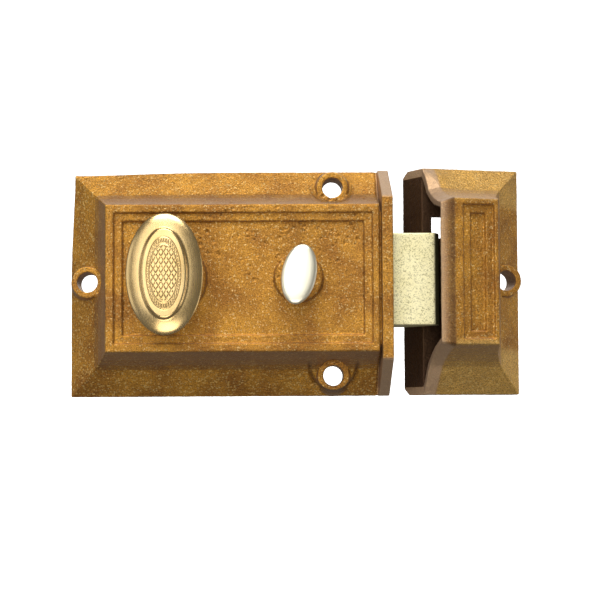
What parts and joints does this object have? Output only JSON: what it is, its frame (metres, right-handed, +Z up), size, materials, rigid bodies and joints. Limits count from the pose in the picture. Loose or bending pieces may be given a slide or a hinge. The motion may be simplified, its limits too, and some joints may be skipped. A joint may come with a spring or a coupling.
{
  "type": "rim night latch",
  "caption": "Surface-mounted door lock: cast bevelled case with a turn knob, snib and sprung latch bolt, and the cast strike that takes the bolt.",
  "frame": {"origin": "centre of the case's back face, which lies on the door", "axes": "+X towards the bolt and the strike, +Y into the door, +Z up; the front faces -Y"},
  "size_m": [0.1392, 0.0358, 0.0702],
  "materials": {
    "bronze_paint": "gold-bronze paint on a rough sand casting",
    "polished_brass": "polished and lacquered",
    "turned_brass": "turned",
    "plated_bolt": "pale plating over a cast surface",
    "zinc_steel": "zinc plated pressing",
    "spring_steel": "drawn wire, lightly oiled"
  },
  "bodies": {
    "case_body": {"case": "bronze_paint", "back_plate": "zinc_steel", "back_plate_screw_1": "zinc_steel", "back_plate_screw_2": "zinc_steel", "back_plate_screw_3": "zinc_steel", "back_plate_screw_4": "zinc_steel", "knob_bush": "turned_brass", "snib_bush": "turned_brass", "tail_guide_stud": "zinc_steel", "spring_post": "zinc_steel", "spring_guide_pin": "zinc_steel", "bolt_spring": "spring_steel", "snib_wave_washer": "spring_steel"},
    "bolt_body": {"latch_bolt": "plated_bolt", "bolt_tail": "zinc_steel", "tail_rivet_1": "zinc_steel", "tail_rivet_2": "zinc_steel"},
    "knob_body": {"rollback_hub": "zinc_steel", "hub_thrust_washer": "zinc_steel", "knob_spindle": "zinc_steel", "knob": "polished_brass", "knob_set_screw": "zinc_steel"},
    "snib_body": {"snib": "polished_brass", "snib_spindle": "zinc_steel", "snib_cam": "zinc_steel", "snib_cam_pin": "zinc_steel"},
    "strike_body": {"strike": "bronze_paint"}
  },
  "joints": [
    {"name": "bolt_slide", "type": "slide", "parent": "case_body", "child": "bolt_body", "axis": [-1, 0, 0], "range_m": [0, 0.012], "stiffness_N_per_m": 300, "springref_m": -0.02, "deforming": ["bolt_spring"]},
    {"name": "knob_turn", "type": "hinge", "parent": "case_body", "child": "knob_body", "pos_m": [-0.0176, 0, 0], "axis": [0, -1, 0], "range_deg": [0, 60]},
    {"name": "snib_turn", "type": "hinge", "parent": "case_body", "child": "snib_body", "pos_m": [0.0211, 0, 0], "axis": [0, 1, 0], "range_deg": [0, 90]},
    {"name": "strike_seat", "type": "hinge", "parent": "case_body", "child": "strike_body", "pos_m": [0.0894, 0, 0], "axis": [0, 0, 1], "range_deg": [-12, 0]}
  ],
  "couplings": [
    {"joint": "knob_turn", "follows": "bolt_slide", "rad_per_m": 87.26}
  ]
}
